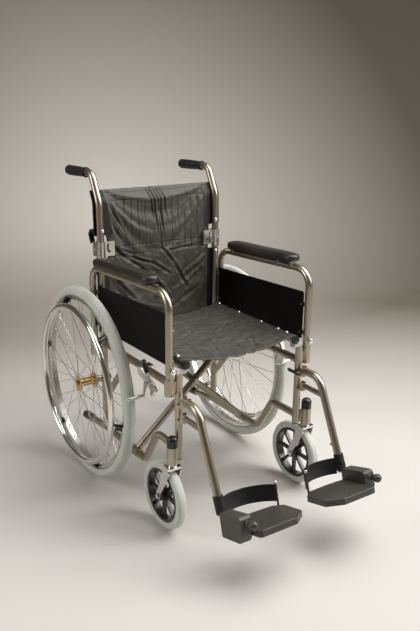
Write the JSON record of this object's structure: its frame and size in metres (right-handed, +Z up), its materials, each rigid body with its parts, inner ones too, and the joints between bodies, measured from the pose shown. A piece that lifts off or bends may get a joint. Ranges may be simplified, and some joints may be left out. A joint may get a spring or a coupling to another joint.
{
  "type": "manual wheelchair",
  "caption": "Folding self-propelled wheelchair with a cross brace, spoked rear wheels, casters, lift-off armrests and swing-away footrests.",
  "frame": {"origin": "on the floor at the centre of the footprint", "axes": "+Z up, the chair faces -Y, +X is the occupant's left"},
  "size_m": [0.647, 1.1076, 0.9607],
  "materials": {
    "frame_metal": "metallic champagne lacquer",
    "black_plastic": "moulded black",
    "white_plastic": "moulded off-white",
    "steel": "zinc-plated",
    "black_metal": "black lacquer",
    "tyre": "pale grey, matt",
    "rim_metal": "polished",
    "spoke_steel": "bright wire",
    "gold_hub": "gold-coloured",
    "chrome": "bright",
    "footplate_plastic": "moulded dark grey, fine grain",
    "bumper_rubber": "dark grey",
    "webbing": "woven black webbing",
    "vinyl": "black-brown vinyl with a soft sheen",
    "panel_plastic": "black sheet",
    "grip_rubber": "ribbed black",
    "bracket_metal": "silver zinc",
    "nylon": "dark grey woven nylon with a light sheen"
  },
  "bodies": {
    "right_frame": {"right_side_frame": "frame_metal", "right_plastic_caps": "black_plastic", "right_rail_guides": "white_plastic", "right_axle_bolt": "steel", "right_brake_clamp": "steel", "right_back_hinge": "bracket_metal", "back_sling": "nylon"},
    "left_frame": {"left_side_frame": "frame_metal", "left_plastic_caps": "black_plastic", "left_rail_guides": "white_plastic", "left_axle_bolt": "steel", "left_brake_clamp": "steel", "left_back_hinge": "bracket_metal"},
    "cross_a": {"cross_tube_a": "frame_metal", "seat_sling": "nylon"},
    "cross_b": {"cross_tube_b": "frame_metal"},
    "left_rear_wheel": {"left_rear_tyre": "tyre", "left_rear_rim": "rim_metal", "left_spokes": "spoke_steel", "left_rear_hub": "gold_hub", "left_handrim": "chrome"},
    "left_caster_swivel": {"left_caster_fork": "chrome"},
    "left_caster_wheel": {"left_caster_tyre": "tyre", "left_caster_core": "black_plastic"},
    "left_hanger_arm": {"left_hanger": "frame_metal", "left_bumper": "bumper_rubber", "left_heel_strap": "webbing"},
    "left_latch": {"left_hanger_latch": "black_metal"},
    "left_foot": {"left_footplate": "footplate_plastic"},
    "left_armrest": {"left_armrest_tube": "frame_metal", "left_arm_pad": "vinyl", "left_side_panel": "panel_plastic"},
    "left_lock": {"left_arm_lock": "chrome"},
    "left_upper_back": {"left_upper_cane": "frame_metal", "left_push_grip": "grip_rubber"},
    "left_release": {"left_back_release": "black_plastic"},
    "left_lever": {"left_brake_lever": "steel"},
    "left_shoe": {"left_brake_shoe": "steel"},
    "right_rear_wheel": {"right_rear_tyre": "tyre", "right_rear_rim": "rim_metal", "right_spokes": "spoke_steel", "right_rear_hub": "gold_hub", "right_handrim": "chrome"},
    "right_caster_swivel": {"right_caster_fork": "chrome"},
    "right_caster_wheel": {"right_caster_tyre": "tyre", "right_caster_core": "black_plastic"},
    "right_hanger_arm": {"right_hanger": "frame_metal", "right_bumper": "bumper_rubber", "right_heel_strap": "webbing"},
    "right_latch": {"right_hanger_latch": "black_metal"},
    "right_foot": {"right_footplate": "footplate_plastic"},
    "right_armrest": {"right_armrest_tube": "frame_metal", "right_arm_pad": "vinyl", "right_side_panel": "panel_plastic"},
    "right_lock": {"right_arm_lock": "chrome"},
    "right_upper_back": {"right_upper_cane": "frame_metal", "right_push_grip": "grip_rubber"},
    "right_release": {"right_back_release": "black_plastic"},
    "right_lever": {"right_brake_lever": "steel"},
    "right_shoe": {"right_brake_shoe": "steel"}
  },
  "joints": [
    {"name": "fold", "type": "hinge", "parent": "right_frame", "child": "cross_a", "pos_m": [-0.21, 0.0513, 0.132], "axis": [0, -1, 0], "range_deg": [0, 32], "deforming": ["back_sling"]},
    {"name": "fold_cross", "type": "hinge", "parent": "cross_a", "child": "cross_b", "pos_m": [0, 0.0638, 0.31995], "axis": [0, -1, 0], "range_deg": [-64, 0], "deforming": ["seat_sling"]},
    {"name": "fold_left", "type": "hinge", "parent": "cross_b", "child": "left_frame", "pos_m": [0.21, 0.0763, 0.132], "axis": [0, -1, 0], "range_deg": [0, 32]},
    {"name": "left_wheel_spin", "type": "hinge", "parent": "left_frame", "child": "left_rear_wheel", "pos_m": [0.277, 0.2488, 0.305], "axis": [1, 0, 0], "continuous": true},
    {"name": "left_caster_turn", "type": "hinge", "parent": "left_frame", "child": "left_caster_swivel", "pos_m": [0.2387, -0.2092, 0.24], "axis": [0, 0, 1], "continuous": true},
    {"name": "left_caster_spin", "type": "hinge", "parent": "left_caster_swivel", "child": "left_caster_wheel", "pos_m": [0.2387, -0.1662, 0.1], "axis": [1, 0, 0], "continuous": true},
    {"name": "left_hanger_swing", "type": "hinge", "parent": "left_frame", "child": "left_hanger_arm", "pos_m": [0.21, -0.2192, 0.37], "axis": [0, 0, 1], "range_deg": [0, 90]},
    {"name": "left_latch_swing", "type": "hinge", "parent": "left_hanger_arm", "child": "left_latch", "pos_m": [0.191, -0.2192, 0.39], "axis": [0, 0, 1], "range_deg": [0, 25], "stiffness_Nm_per_rad": 0.4},
    {"name": "left_footplate_flip", "type": "hinge", "parent": "left_hanger_arm", "child": "left_foot", "pos_m": [0.21, -0.4072, 0.153], "axis": [0, 0.9613, -0.2756], "range_deg": [0, 90], "deforming": ["left_heel_strap"]},
    {"name": "left_armrest_lift", "type": "slide", "parent": "left_frame", "child": "left_armrest", "axis": [0, 0, 1], "range_m": [0, 0.06]},
    {"name": "left_lock_press", "type": "slide", "parent": "left_armrest", "child": "left_lock", "axis": [0, 1, 0], "range_m": [0, 0.004], "stiffness_N_per_m": 300},
    {"name": "left_back_fold", "type": "hinge", "parent": "left_frame", "child": "left_upper_back", "pos_m": [0.21, 0.2688, 0.72], "axis": [-1, 0, 0], "range_deg": [0, 90]},
    {"name": "left_release_pull", "type": "hinge", "parent": "left_upper_back", "child": "left_release", "pos_m": [0.21, 0.2758, 0.775], "axis": [1, 0, 0], "range_deg": [0, 20], "stiffness_Nm_per_rad": 0.4},
    {"name": "left_brake_pull", "type": "hinge", "parent": "left_frame", "child": "left_lever", "pos_m": [0.238, -0.0962, 0.398], "axis": [1, 0, 0], "range_deg": [0, 60]},
    {"name": "left_brake_press", "type": "hinge", "parent": "left_frame", "child": "left_shoe", "pos_m": [0.242, -0.0732, 0.404], "axis": [1, 0, 0], "range_deg": [0, 5]},
    {"name": "right_wheel_spin", "type": "hinge", "parent": "right_frame", "child": "right_rear_wheel", "pos_m": [-0.277, 0.2488, 0.305], "axis": [1, 0, 0], "continuous": true},
    {"name": "right_caster_turn", "type": "hinge", "parent": "right_frame", "child": "right_caster_swivel", "pos_m": [-0.2387, -0.2092, 0.24], "axis": [0, 0, 1], "continuous": true},
    {"name": "right_caster_spin", "type": "hinge", "parent": "right_caster_swivel", "child": "right_caster_wheel", "pos_m": [-0.2387, -0.1662, 0.1], "axis": [1, 0, 0], "continuous": true},
    {"name": "right_hanger_swing", "type": "hinge", "parent": "right_frame", "child": "right_hanger_arm", "pos_m": [-0.21, -0.2192, 0.37], "axis": [0, 0, -1], "range_deg": [0, 90]},
    {"name": "right_latch_swing", "type": "hinge", "parent": "right_hanger_arm", "child": "right_latch", "pos_m": [-0.191, -0.2192, 0.39], "axis": [0, 0, -1], "range_deg": [0, 25], "stiffness_Nm_per_rad": 0.4},
    {"name": "right_footplate_flip", "type": "hinge", "parent": "right_hanger_arm", "child": "right_foot", "pos_m": [-0.21, -0.4072, 0.153], "axis": [0, -0.9613, 0.2756], "range_deg": [0, 90], "deforming": ["right_heel_strap"]},
    {"name": "right_armrest_lift", "type": "slide", "parent": "right_frame", "child": "right_armrest", "axis": [0, 0, 1], "range_m": [0, 0.06]},
    {"name": "right_lock_press", "type": "slide", "parent": "right_armrest", "child": "right_lock", "axis": [0, 1, 0], "range_m": [0, 0.004], "stiffness_N_per_m": 300},
    {"name": "right_back_fold", "type": "hinge", "parent": "right_frame", "child": "right_upper_back", "pos_m": [-0.21, 0.2688, 0.72], "axis": [-1, 0, 0], "range_deg": [0, 90]},
    {"name": "right_release_pull", "type": "hinge", "parent": "right_upper_back", "child": "right_release", "pos_m": [-0.21, 0.2758, 0.775], "axis": [1, 0, 0], "range_deg": [0, 20], "stiffness_Nm_per_rad": 0.4},
    {"name": "right_brake_pull", "type": "hinge", "parent": "right_frame", "child": "right_lever", "pos_m": [-0.238, -0.0962, 0.398], "axis": [1, 0, 0], "range_deg": [0, 60]},
    {"name": "right_brake_press", "type": "hinge", "parent": "right_frame", "child": "right_shoe", "pos_m": [-0.242, -0.0732, 0.404], "axis": [1, 0, 0], "range_deg": [0, 5]}
  ],
  "couplings": [
    {"joint": "fold_cross", "follows": "fold", "ratio": -2},
    {"joint": "fold_left", "follows": "fold", "ratio": 1},
    {"joint": "left_footplate_flip", "follows": "fold", "ratio": 2.8125},
    {"joint": "right_footplate_flip", "follows": "fold", "ratio": 2.8125},
    {"joint": "right_back_fold", "follows": "left_back_fold", "ratio": 1},
    {"joint": "left_brake_press", "follows": "left_brake_pull", "ratio": 0.083333},
    {"joint": "right_brake_press", "follows": "right_brake_pull", "ratio": 0.083333}
  ]
}
